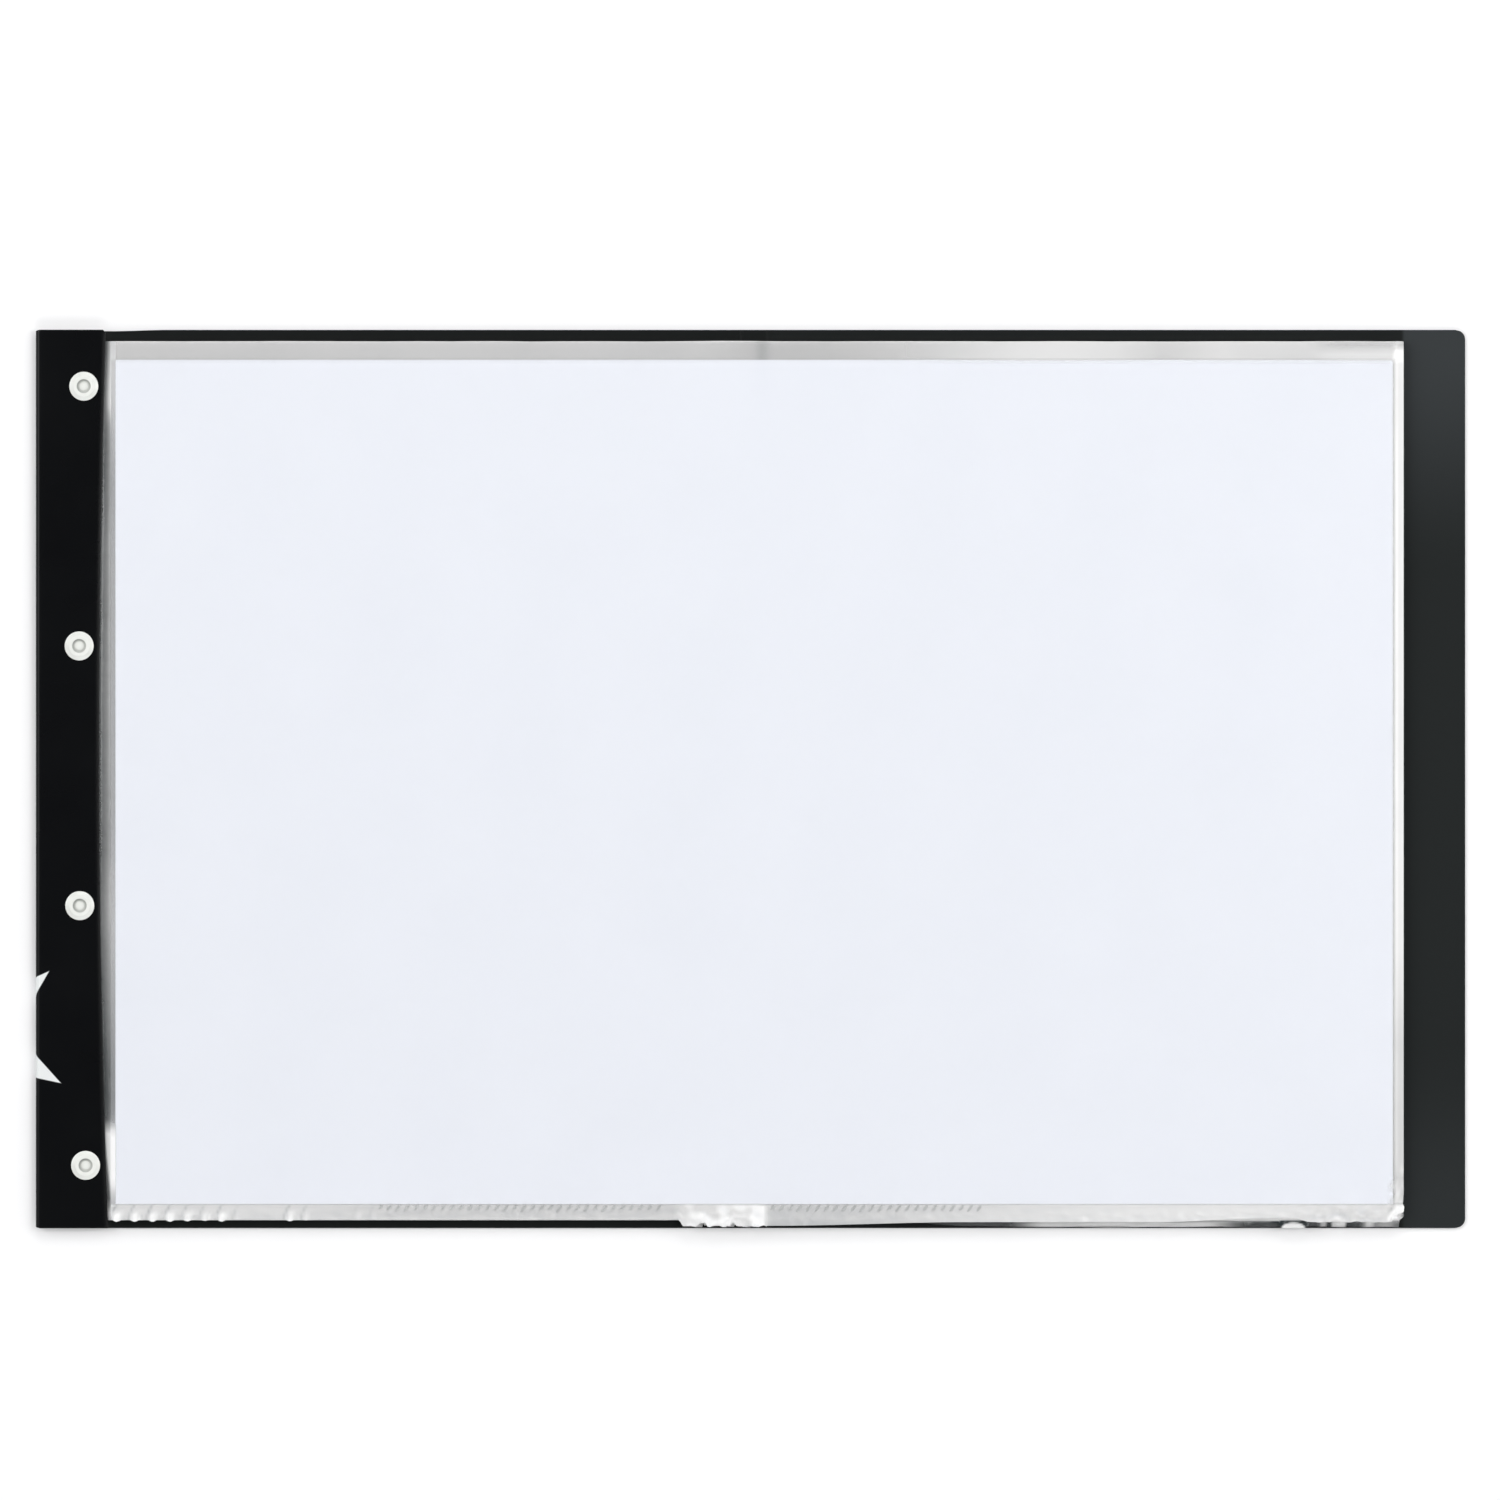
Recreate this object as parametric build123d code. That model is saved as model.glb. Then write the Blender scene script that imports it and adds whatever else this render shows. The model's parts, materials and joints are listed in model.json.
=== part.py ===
from build123d import *
import os

# A display book for A3 sheets that folds in half to A4. It lies open and flat:
# +X to the right, +Y up the page, +Z up. The origin is the middle of its
# outline, at the surface that it lies on. Millimetres.

# --- cover: one polypropylene sheet with two creases and a turned-in strip ---
COVER_WIDTH = 493.3       # open, along X
COVER_HEIGHT = 310.0      # along Y
COVER_T = 0.8             # thickness of the sheet
SPINE_WIDTH = 9.0         # between the two creases
SPINE_OFFSET = 1.5        # spine's middle, right of the book's middle
CREASE_GAP = 0.2          # width of each pressed crease
CORNER_RADIUS = 3.4       # the two free corners, at the right
STRIP_TOP = 24.2          # width of the turned-in strip at the top edge,
STRIP_MIDDLE = 21.9       # at mid height
STRIP_BOTTOM = 25.0       # and at the bottom edge
STRIP_CHAMFER = 1.0       # clipped corner at the strip's top end
HEAD_CLEARANCE = 0.4      # rear rivet heads to the step that lifts the panel
STEP_CLEARANCE = 0.2      # foot of that step to the pockets' flat part

# --- pockets: two clear films each, welded at both sides and the bottom ---
POCKET_COUNT = 10
FILM_T = 0.06
POCKET_SLOT = 0.15        # room between the two films
POCKET_PITCH = 0.38       # from one pocket to the next in the pile
TOP_POCKET_LIFT = 0.2     # extra room under the top pocket, which turns
PILE_GAP = 0.05           # cover to the lowest pocket
MARGIN_INSET = 2.65       # cover's left edge to the pockets' punched edge
STRIP_CLEARANCE = 1.0     # strip's free edge to the pockets' bend
BEND_RUN = 1.3            # the bend also is the weld at the pocket's left
RIGHT_WELD = 3.0
BOTTOM_WELD = 5.3
RIGHT_REVEAL = 21.4       # cover that shows beyond the pockets
TOP_REVEAL = 4.1
BOTTOM_REVEAL = 2.8

# --- the folds of the pockets ---
FOLD_CLEARANCE = 0.3      # widest bend of the pockets to the closed spine
FOLD_GAP = 0.3            # between the halves of a pocket at the fold line

# --- white sheet in the top pocket ---
PAPER_T = 0.1
PAPER_SIDE_GAP = 0.25     # to the weld at its left and under it
PAPER_RIGHT_GAP = 0.7
PAPER_TOP_GAP = 6.3       # below the pocket's open edge

# --- two-part rivets ---
RIVET_COUNT = 4
RIVET_TOP_INSET = 19.5    # cover's top edge to the first rivet
RIVET_BOTTOM_INSET = 21.7
RIVET_EDGE = 7.0          # rivet's axis to the strip's free edge
HEAD_RADIUS = 5.0
REAR_HEAD_H = 0.8
FRONT_HEAD_H = 0.9
RIM_DROP = 0.45           # the front head slopes down to its rim by this much
CROWN_RADIUS = 3.7        # flat middle of the front head
CROWN_STEP = 0.12
BARREL_RADIUS = 2.5
WELL_RADIUS = 2.4         # open ring round the pin's tip
WELL_DEPTH = 0.7
PIN_RADIUS = 1.5
PIN_FIT = 0.04            # between pin and barrel
HOLE_FIT = 0.15           # between barrel and punched holes
TIP_RECESS = 0.15         # pin's tip, below the face of the front head
BARREL_STOP = 0.2         # barrel's end, above the rear head

# --- places that follow ---
half_width = COVER_WIDTH / 2
half_height = COVER_HEIGHT / 2
left_crease = SPINE_OFFSET - SPINE_WIDTH / 2
right_crease = SPINE_OFFSET + SPINE_WIDTH / 2
margin_t = 2 * FILM_T
panel_z = REAR_HEAD_H                      # underside of the lifted panel
pile_z = panel_z + COVER_T                 # underside of the clamped margins
strip_z = pile_z + POCKET_COUNT * margin_t
strip_top_z = strip_z + COVER_T
head_top_z = strip_top_z + FRONT_HEAD_H
pocket_t = 2 * FILM_T + POCKET_SLOT
strip_widest = max(STRIP_TOP, STRIP_MIDDLE, STRIP_BOTTOM)

margin_x = -half_width + MARGIN_INSET
bend_x = -half_width + strip_widest + STRIP_CLEARANCE
left_x = bend_x + BEND_RUN                 # inside of the left weld
right_x = half_width - RIGHT_REVEAL        # right edge of the pockets
top_y = half_height - TOP_REVEAL
bottom_y = -half_height + BOTTOM_REVEAL
weld_y = bottom_y + BOTTOM_WELD            # top of the bottom weld
fold_z = COVER_T + SPINE_WIDTH / 2        # height of the pockets' fold line
fold_radius = fold_z - COVER_T - PILE_GAP  # bend of the lowest pocket when folded
fold_x = left_crease - fold_radius - FOLD_CLEARANCE
fold_left_x = fold_x - FOLD_GAP / 2
fold_right_x = fold_x + FOLD_GAP / 2
step_foot_x = left_x - STEP_CLEARANCE
hole_radius = BARREL_RADIUS + HOLE_FIT


def slab(x0, x1, y0, y1, z0, z1):
    """A box between two corners."""
    size = Box(x1 - x0, y1 - y0, z1 - z0)
    return Pos((x0 + x1) / 2, (y0 + y1) / 2, (z0 + z1) / 2) * size


def prism(points, y0, y1):
    """A closed outline in XZ, drawn out along Y."""
    outline = make_face(Plane.XZ * Polyline(*points, close=True))
    return Pos(0, y1, 0) * extrude(outline, y1 - y0)


def strip_width(y):
    """Width of the turned-in strip at height y: its free edge is bowed."""
    u = y / half_height
    tilt = (STRIP_TOP - STRIP_BOTTOM) / 2
    bow = (STRIP_TOP + STRIP_BOTTOM) / 2 - STRIP_MIDDLE
    return STRIP_MIDDLE + tilt * u + bow * u * u


def rivet_places():
    """X and Y of the rivets, from top to bottom."""
    pitch = (COVER_HEIGHT - RIVET_TOP_INSET - RIVET_BOTTOM_INSET) / (RIVET_COUNT - 1)
    places = []
    for i in range(RIVET_COUNT):
        y = half_height - RIVET_TOP_INSET - i * pitch
        places.append((-half_width + strip_width(y) - RIVET_EDGE, y))
    return places


def punched(plate, z0, z1):
    """The plate with the rivet holes through it from z0 to z1."""
    for x, y in rivet_places():
        plate -= Pos(x, y, (z0 + z1) / 2) * Cylinder(hole_radius, z1 - z0 + 1)
    return plate


def left_cover():
    """Left panel, its step over the rear rivet heads, and the turned-in strip."""
    bend_radius = (strip_top_z - panel_z) / 2
    bend_centre = -half_width + bend_radius
    step_top_x = max(x for x, y in rivet_places()) + HEAD_RADIUS + HEAD_CLEARANCE
    panel = prism(
        [
            (left_crease - CREASE_GAP / 2, 0), (left_crease - CREASE_GAP / 2, COVER_T),
            (step_foot_x, COVER_T), (step_top_x, pile_z), (bend_centre, pile_z),
            (bend_centre, panel_z), (step_top_x, panel_z), (step_foot_x, 0),
        ],
        -half_height, half_height,
    )
    outer = Cylinder(bend_radius, COVER_HEIGHT, rotation=(90, 0, 0))
    inner = Cylinder(bend_radius - COVER_T, COVER_HEIGHT, rotation=(90, 0, 0))
    wall = Pos(bend_centre, 0, panel_z + bend_radius) * (outer - inner)
    wall -= slab(bend_centre, bend_centre + COVER_HEIGHT, -half_height, half_height, 0, head_top_z)
    edge = ThreePointArc(
        (-half_width + STRIP_BOTTOM, -half_height),
        (-half_width + STRIP_MIDDLE, 0),
        (-half_width + STRIP_TOP, half_height - STRIP_CHAMFER),
    )
    rest = Polyline(
        (-half_width + STRIP_TOP, half_height - STRIP_CHAMFER),
        (-half_width + STRIP_TOP - STRIP_CHAMFER, half_height),
        (bend_centre, half_height),
        (bend_centre, -half_height),
        (-half_width + STRIP_BOTTOM, -half_height),
    )
    strip = Pos(0, 0, strip_z) * extrude(make_face([edge, rest]), COVER_T, dir=(0, 0, 1))
    return punched(panel + wall + strip, 0, head_top_z)


def spine_cover():
    """Panel between the two creases."""
    x0 = left_crease + CREASE_GAP / 2
    x1 = right_crease - CREASE_GAP / 2
    return slab(x0, x1, -half_height, half_height, 0, COVER_T)


def right_cover():
    """Right panel, with its two rounded free corners."""
    x0 = right_crease + CREASE_GAP / 2
    panel = slab(x0, half_width, -half_height, half_height, 0, COVER_T)
    corners = panel.edges().filter_by(Axis.Z).group_by(Axis.X)[-1]
    return fillet(corners, CORNER_RADIUS)


def pocket_z(number):
    """Underside of a pocket in the pile; number 1 is the top one."""
    z = COVER_T + PILE_GAP + (POCKET_COUNT - number) * POCKET_PITCH
    return z + TOP_POCKET_LIFT if number == 1 else z


def margin_z(number):
    """Underside of a pocket's margin, clamped under the strip."""
    return pile_z + (POCKET_COUNT - number) * margin_t


def pocket_margin(number):
    """Punched margin of a pocket, where its two films are one."""
    z = margin_z(number)
    return punched(slab(margin_x, bend_x, bottom_y, top_y, z, z + margin_t), z, z + margin_t)


def pocket_bend(number):
    """Welded bend from the clamped margin to the pocket's height in the pile."""
    low = margin_z(number)
    z = pocket_z(number)
    points = [
        (bend_x, low), (left_x, z), (left_x, z + pocket_t), (bend_x, low + margin_t),
    ]
    return prism(points, bottom_y, top_y)


def pocket_films(x0, x1, z):
    """Back film, front film and the bottom weld between them."""
    back = slab(x0, x1, bottom_y, top_y, z, z + FILM_T)
    front = slab(x0, x1, bottom_y, top_y, z + pocket_t - FILM_T, z + pocket_t)
    weld = slab(x0, x1, bottom_y, weld_y, z + FILM_T, z + pocket_t - FILM_T)
    return [back, front, weld]


def side_weld(x0, x1, z):
    """Weld between the films at a side of a pocket."""
    return slab(x0, x1, weld_y, top_y, z + FILM_T, z + pocket_t - FILM_T)


def bound_left_half(number):
    """Left half of a pocket that stays in the pile, with its margin."""
    films = pocket_films(left_x, fold_left_x, pocket_z(number))
    return Compound([pocket_margin(number), pocket_bend(number)] + films)


def top_left_half():
    """Left half of the top pocket, which turns: its left edge is a plain weld."""
    z = pocket_z(1)
    return Compound(pocket_films(bend_x, fold_left_x, z) + [side_weld(bend_x, left_x, z)])


def right_half(number):
    """Right half of a pocket."""
    z = pocket_z(number)
    films = pocket_films(fold_right_x, right_x, z)
    return Compound(films + [side_weld(right_x - RIGHT_WELD, right_x, z)])


def paper(x0, x1):
    """Half of the sheet, midway between the films of the top pocket."""
    z = pocket_z(1) + (pocket_t - PAPER_T) / 2
    return slab(x0, x1, weld_y + PAPER_SIDE_GAP, top_y - PAPER_TOP_GAP, z, z + PAPER_T)


def rivet_socket(x, y):
    """Front half of a rivet: head, and a barrel down through the holes."""
    end_z = REAR_HEAD_H + BARREL_STOP
    rim_z = head_top_z - RIM_DROP
    well_z = head_top_z - WELL_DEPTH
    bore = PIN_RADIUS + PIN_FIT
    section = Polyline(
        (bore, end_z), (BARREL_RADIUS, end_z), (BARREL_RADIUS, strip_top_z),
        (HEAD_RADIUS, strip_top_z), (HEAD_RADIUS, rim_z),
        (CROWN_RADIUS, head_top_z - CROWN_STEP), (CROWN_RADIUS, head_top_z),
        (WELL_RADIUS, head_top_z), (WELL_RADIUS, well_z), (bore, well_z),
        close=True,
    )
    return Pos(x, y, 0) * revolve(make_face(Plane.XZ * section), Axis.Z)


def rivet_stud(x, y):
    """Rear half of a rivet: flat head and the pin that the barrel grips."""
    tip_z = head_top_z - TIP_RECESS
    section = Polyline(
        (0, 0), (HEAD_RADIUS, 0), (HEAD_RADIUS, REAR_HEAD_H), (PIN_RADIUS, REAR_HEAD_H),
        (PIN_RADIUS, tip_z), (0, tip_z),
        close=True,
    )
    return Pos(x, y, 0) * revolve(make_face(Plane.XZ * section), Axis.Z)


def sub_parts():
    """Every node's name and shape."""
    nodes = {
        "cover_left_panel": left_cover(),
        "cover_spine_panel": spine_cover(),
        "cover_right_panel": right_cover(),
        "pocket_01_margin": pocket_margin(1),
        "pocket_01_left": top_left_half(),
        "pocket_01_right": right_half(1),
        "sheet_left_half": paper(left_x + PAPER_SIDE_GAP, fold_left_x),
        "sheet_right_half": paper(fold_right_x, right_x - RIGHT_WELD - PAPER_RIGHT_GAP),
    }
    for number in range(2, POCKET_COUNT + 1):
        nodes[f"pocket_{number:02d}_left"] = bound_left_half(number)
        nodes[f"pocket_{number:02d}_right"] = right_half(number)
    for number, (x, y) in enumerate(rivet_places(), start=1):
        nodes[f"rivet_socket_{number}"] = rivet_socket(x, y)
        nodes[f"rivet_stud_{number}"] = rivet_stud(x, y)
    return nodes


os.makedirs("parts", exist_ok=True)
for name, shape in sub_parts().items():
    export_step(shape, f"parts/{name}.step")
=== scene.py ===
# %% [markdown]
# # A display book that folds in half
# The book is one black plastic sheet, creased twice across the middle, with its left edge
# turned in over a pile of clear pockets and riveted there. The top pocket holds a sheet of
# white paper. The engineering model gives every place and every moving body, so this
# script only dresses it. Lengths are in metres, and MM turns millimetres into them.

# %% Load the frame
import json
import math

import bmesh
import bpy
import numpy as np
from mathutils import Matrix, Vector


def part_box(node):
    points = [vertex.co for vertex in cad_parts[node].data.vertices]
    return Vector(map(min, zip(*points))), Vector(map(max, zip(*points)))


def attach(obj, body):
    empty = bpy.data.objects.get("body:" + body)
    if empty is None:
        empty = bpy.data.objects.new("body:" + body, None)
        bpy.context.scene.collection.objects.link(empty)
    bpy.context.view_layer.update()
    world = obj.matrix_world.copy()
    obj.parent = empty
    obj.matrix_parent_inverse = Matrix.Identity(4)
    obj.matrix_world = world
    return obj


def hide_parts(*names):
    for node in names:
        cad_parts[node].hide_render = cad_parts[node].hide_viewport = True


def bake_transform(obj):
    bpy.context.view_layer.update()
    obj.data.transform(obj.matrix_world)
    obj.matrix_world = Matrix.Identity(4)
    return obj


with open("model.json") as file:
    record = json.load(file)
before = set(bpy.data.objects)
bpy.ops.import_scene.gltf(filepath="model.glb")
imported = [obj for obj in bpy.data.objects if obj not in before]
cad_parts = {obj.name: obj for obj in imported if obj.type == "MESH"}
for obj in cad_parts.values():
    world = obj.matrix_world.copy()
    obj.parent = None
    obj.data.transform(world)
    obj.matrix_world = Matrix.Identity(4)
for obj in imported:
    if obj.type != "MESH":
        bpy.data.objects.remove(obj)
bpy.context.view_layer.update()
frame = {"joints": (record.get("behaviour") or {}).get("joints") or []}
MM = 0.001


def span(*names):
    """Lowest and highest corner of some nodes together."""
    corners = np.array([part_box(name) for name in names])
    return corners[:, 0].min(axis=0), corners[:, 1].max(axis=0)


def add_object(name, data):
    """A new object in the scene."""
    made = bpy.data.objects.new(name, data)
    bpy.context.scene.collection.objects.link(made)
    return made


cover_low, cover_high = span("cover_left_panel", "cover_right_panel")
print("open book:", np.round((cover_high - cover_low) / MM, 1), "mm")

# %% [markdown]
# ## Camera, light and floor
# The book is looked at from straight above, far enough away that its sides look parallel.
# Flat gloss mirrors whatever is above it, so the sky of this little studio is dim overhead
# and pale low down, and the softboxes stand off to the sides. That leaves black plastic
# black. One narrow lamp stands nearer to overhead on the right, and every ripple in the
# clear film that leans towards it lights up.

# %% Camera
VIEW_WIDTH = 517.8 * MM
CAMERA_HEIGHT = 6.0
CAMERA_SIDE = -0.2 * MM
CAMERA_RISE = 10.0 * MM

camera = bpy.data.cameras.new("camera")
camera.sensor_width = 36
camera.lens = camera.sensor_width * CAMERA_HEIGHT / VIEW_WIDTH
viewer = add_object("camera", camera)
viewer.location = (CAMERA_SIDE, CAMERA_RISE, CAMERA_HEIGHT)
bpy.context.scene.camera = viewer
print("lens", round(camera.lens, 1), "mm")

# %% [markdown]
# ## Shader maths as Python
# A finish that varies over a surface needs many small Math nodes. Wrapping a socket in a
# class with operators lets them be written as a formula. Any other node comes from one
# function, which sets the node's own settings first and then its sockets.

# %% A socket that does arithmetic, and a material that makes nodes


def add_node(tree, kind, settings, sockets):
    """Adds a node to a tree, with its settings, and links or sets its sockets."""
    made = tree.nodes.new(kind)
    for name, value in (settings or {}).items():
        setattr(made, name, value)
    for name, value in (sockets or {}).items():
        if isinstance(value, Signal):
            value = value.socket
        if isinstance(value, bpy.types.NodeSocket):
            tree.links.new(value, made.inputs[name])
        else:
            made.inputs[name].default_value = value
    return made


class Signal:
    """A varying number in a material."""

    def __init__(self, finish, socket):
        self.finish = finish
        self.socket = socket

    def __add__(self, other):
        return self.finish.math("ADD", self, other)

    def __sub__(self, other):
        return self.finish.math("SUBTRACT", self, other)

    def __rsub__(self, other):
        return self.finish.math("SUBTRACT", other, self)

    def __mul__(self, other):
        return self.finish.math("MULTIPLY", self, other)

    __radd__ = __add__
    __rmul__ = __mul__


class Finish:
    """A material under construction."""

    def __init__(self, name, owner=None):
        self.material = owner or bpy.data.materials.new(name)
        self.material.use_nodes = True
        self.tree = self.material.node_tree
        self.tree.nodes.clear()

    def node(self, kind, settings=None, sockets=None, out=0):
        """Adds a node and returns one of its outputs."""
        made = add_node(self.tree, "ShaderNode" + kind, settings, sockets)
        return Signal(self, made.outputs[out]) if made.outputs else None

    def math(self, operation, *values, clamp=False):
        settings = {"operation": operation, "use_clamp": clamp}
        return self.node("Math", settings, dict(enumerate(values)))

    def clamp(self, value):
        return self.math("ADD", value, 0.0, clamp=True)

    def mix(self, share, first, second):
        """A colour between two colours."""
        sockets = {0: share, 6: first, 7: second}
        return self.node("Mix", {"data_type": "RGBA"}, sockets, out=2)

    def attribute(self, name):
        return self.node("Attribute", {"attribute_name": name}, out="Fac")

    def noise(self, where, size, detail=2.0, roughness=0.5):
        """Cloudy numbers around 0.5, in lumps of about this size in metres."""
        sockets = {
            "Vector": where, "Scale": 1 / size, "Detail": detail, "Roughness": roughness,
        }
        return self.node("TexNoise", {}, sockets)

    def ramp(self, value, low, high):
        """0 below low, 1 above high, and a soft step between."""
        sockets = {"Value": value, "From Min": low, "From Max": high}
        return self.node("MapRange", {"interpolation_type": "SMOOTHSTEP"}, sockets)

    def bump(self, height, depth, strength=1.0):
        sockets = {"Height": height, "Distance": depth, "Strength": strength}
        return self.node("Bump", {}, sockets)

    def surface(self, **sockets):
        """Ends the material in a Principled shader."""
        named = {name.replace("_", " "): value for name, value in sockets.items()}
        shader = self.node("BsdfPrincipled", {}, named)
        self.node("OutputMaterial", {}, {"Surface": shader})
        return self.material


def display(red, green, blue):
    """A display colour from 0 to 255 as the linear colour that a shader takes."""
    def linear(value):
        value = value / 255
        return value / 12.92 if value <= 0.04045 else ((value + 0.055) / 1.055) ** 2.4
    return (linear(red), linear(green), linear(blue), 1.0)


# %% [markdown]
# The floor is a lit grey card with a little light of its own for the rays that the camera,
# a mirror or a clear film sends, so that it reads as white and still holds the shadow
# under the book. The sky is white for the camera only.

# %% Floor and sky
FLOOR_SIZE = 9.0
FLOOR_LEVEL = -0.2 * MM
FLOOR_GLOW = 0.12
FAR_GLOW = 0.6              # more of it, between a near and a far distance from the book
FAR_START = 0.4
FAR_END = 1.6
SKY_LOW = 0.65              # how bright the sky is low down,
SKY_HIGH = 0.026            # and overhead


def seen_ray(finish):
    """1 for rays from the camera, from gloss and through clear matter."""
    path = finish.node("LightPath").socket.node
    camera_ray = Signal(finish, path.outputs["Is Camera Ray"])
    glossy_ray = Signal(finish, path.outputs["Is Glossy Ray"])
    clear_ray = Signal(finish, path.outputs["Is Transmission Ray"])
    return finish.clamp(camera_ray + glossy_ray + clear_ray)


floor_finish = Finish("studio_floor")
floor_place = floor_finish.node("TexCoord", out="Object")
floor_cloud = floor_finish.noise(floor_place, 0.4)
floor_tone = floor_finish.mix(floor_cloud, display(232, 232, 233), display(238, 238, 239))
floor_card = floor_finish.node("BsdfDiffuse", {}, {"Color": floor_tone})
floor_reach = floor_finish.node("VectorMath", {"operation": "LENGTH"}, {0: floor_place}, out=1)
floor_level = FLOOR_GLOW + floor_finish.ramp(floor_reach, FAR_START, FAR_END) * FAR_GLOW
floor_light = floor_finish.node(
    "Emission", {}, {"Strength": seen_ray(floor_finish) * floor_level}
)
floor_both = floor_finish.node("AddShader", {}, {0: floor_card, 1: floor_light})
floor_finish.node("OutputMaterial", {}, {"Surface": floor_both})

half_floor = FLOOR_SIZE / 2
floor_mesh = bpy.data.meshes.new("studio_floor")
floor_corners = [
    (across * half_floor, up * half_floor, FLOOR_LEVEL)
    for across, up in ((-1, -1), (1, -1), (1, 1), (-1, 1))
]
floor_mesh.from_pydata(floor_corners, [], [(0, 1, 2, 3)])
floor_mesh.materials.append(floor_finish.material)
floor = add_object("studio_floor", floor_mesh)

world = bpy.data.worlds.new("studio")
bpy.context.scene.world = world
sky = Finish("studio", owner=world)
sky_path = sky.node("LightPath", out="Is Camera Ray")
sky_way = sky.node("TexCoord", out="Generated")
sky_rise = sky.node("SeparateXYZ", {}, {"Vector": sky_way}, out=2)
sky_level = SKY_LOW - sky.ramp(sky_rise, 0.15, 0.9) * (SKY_LOW - SKY_HIGH)
sky_seen = sky_path + (1 - sky_path) * sky_level
sky_light = sky.node("Background", {}, {"Color": (1, 1, 1, 1), "Strength": sky_seen})
sky.node("OutputWorld", {}, {"Surface": sky_light})
bpy.context.scene.view_settings.view_transform = "Standard"

# %% Softboxes


def softbox(name, place, size, power):
    """A square lamp that faces the book."""
    light = bpy.data.lights.new(name, "AREA")
    light.shape = "RECTANGLE"
    light.size = size[0]
    light.size_y = size[1]
    light.energy = power
    lamp = add_object(name, light)
    lamp.location = place
    lamp.rotation_euler = lamp.location.to_track_quat("Z", "Y").to_euler()


softbox("lamp_left", (-1.5, 0.5, 1.5), (1.0, 1.6), 19)
softbox("lamp_right", (1.5, 0.3, 1.5), (1.0, 1.6), 17.3)
softbox("lamp_back", (0.1, 1.7, 1.5), (1.8, 0.9), 15.6)
softbox("lamp_front", (0.0, -1.7, 1.4), (1.8, 0.9), 14.7)
softbox("lamp_high", (1.05, 0.15, 2.3), (0.3, 1.4), 6)

# %% [markdown]
# ## Closed sheets from grids
# Nearly everything here is a thin sheet. A grid of points for its upper face and one for
# its lower face, joined by a rim, gives a closed mesh whose every wrinkle can be written
# as a formula of x and y. Narrow columns go where a fold must bend, and wide ones between.

# %% Build a mesh from two grids


def closed_sheet(name, upper, lower, sheet_map=None):
    """A closed sheet between two grids of points, which are rows by columns by 3.

    Rows run up the page and columns run to the right. The map, if given, becomes the UVs
    of both faces.
    """
    rows, columns = upper.shape[:2]
    count = rows * columns
    index = np.arange(count).reshape(rows, columns)
    corners = [index[:-1, :-1], index[:-1, 1:], index[1:, 1:], index[1:, :-1]]
    top = np.stack(corners, axis=-1).reshape(-1, 4)
    loop = np.concatenate(
        [index[0, :-1], index[:-1, -1], index[-1, :0:-1], index[:0:-1, 0]]
    )
    after = np.roll(loop, -1)
    rim = np.stack([loop + count, after + count, after, loop], axis=-1)
    faces = np.concatenate([top, top[:, ::-1] + count, rim])
    points = np.concatenate([upper.reshape(-1, 3), lower.reshape(-1, 3)])
    mesh = bpy.data.meshes.new(name)
    mesh.from_pydata(points.tolist(), [], faces.tolist())
    if sheet_map is not None:
        places = np.concatenate([sheet_map.reshape(-1, 2)] * 2)
        layer = mesh.uv_layers.new(name="Sheet")
        layer.data.foreach_set("uv", places[faces.ravel()].astype(np.float32).ravel())
    mesh.shade_smooth()
    mesh.set_sharp_from_angle(angle=math.radians(50))
    return add_object(name, mesh)


def add_attribute(piece, name, upper, lower):
    """A number at every point of a closed sheet, for its material to read."""
    values = np.concatenate([upper.ravel(), lower.ravel()]).astype(np.float32)
    layer = piece.data.attributes.new(name, "FLOAT", "POINT")
    layer.data.foreach_set("value", values)


def level_sheet(name, x, y, upper_z, lower_z, sheet_map=None):
    """A closed sheet whose lower points lie straight below its upper ones."""
    upper = np.stack([x, y, upper_z], axis=-1)
    lower = np.stack([x, y, lower_z], axis=-1)
    return closed_sheet(name, upper, lower, sheet_map)


def dress(piece, material):
    """Gives a piece its material and prints how many triangles it has."""
    piece.data.materials.append(material)
    triangles = sum(len(face.vertices) - 2 for face in piece.data.polygons)
    print(piece.name, triangles, "triangles")


def steps(low, high, size):
    """Evenly spaced values from low to high, no further apart than size."""
    return np.linspace(low, high, max(2, math.ceil((high - low) / size) + 1))


def joined(*runs):
    """Runs of values as one rising run, without repeats."""
    return np.unique(np.round(np.concatenate(runs), 8))


def spaced(start, *stretches):
    """Rising values through stretches of (end, widest step in millimetres)."""
    runs = []
    for end, size in stretches:
        runs.append(steps(start, end, size * MM))
        start = end
    return joined(*runs)


def smooth_step(values, low, high):
    share = np.clip((values - low) / (high - low), 0, 1)
    return share * share * (3 - 2 * share)


def hump(values, middle, reach):
    return np.exp(-(((values - middle) / reach) ** 2))


# %% [markdown]
# The wrinkles need the same soft shapes at many places, so these take their places in
# millimetres from the middle of the book.

# %% The same shapes in millimetres


def rising(values, low, high):
    return smooth_step(values, low * MM, high * MM)


def falling(values, low, high):
    return 1 - rising(values, low, high)


def around(values, middle, reach):
    return hump(values, middle * MM, reach * MM)


def waves(x, y, size, seed, count=7):
    """Smooth random hills of about this size, from about -1 to 1."""
    random = np.random.default_rng(seed)
    total = np.zeros(np.broadcast(x, y).shape)
    for _ in range(count):
        way = random.uniform(0, math.tau)
        length = size * MM * random.uniform(0.7, 1.6)
        phase = random.uniform(0, math.tau)
        along = x * math.cos(way) + y * math.sin(way)
        total = total + np.sin(along * math.tau / length + phase)
    return total / math.sqrt(count * 1.4)


def ripple(values, size, seed):
    """Waves that run one way only."""
    return waves(values, values * 0, size, seed)


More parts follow.
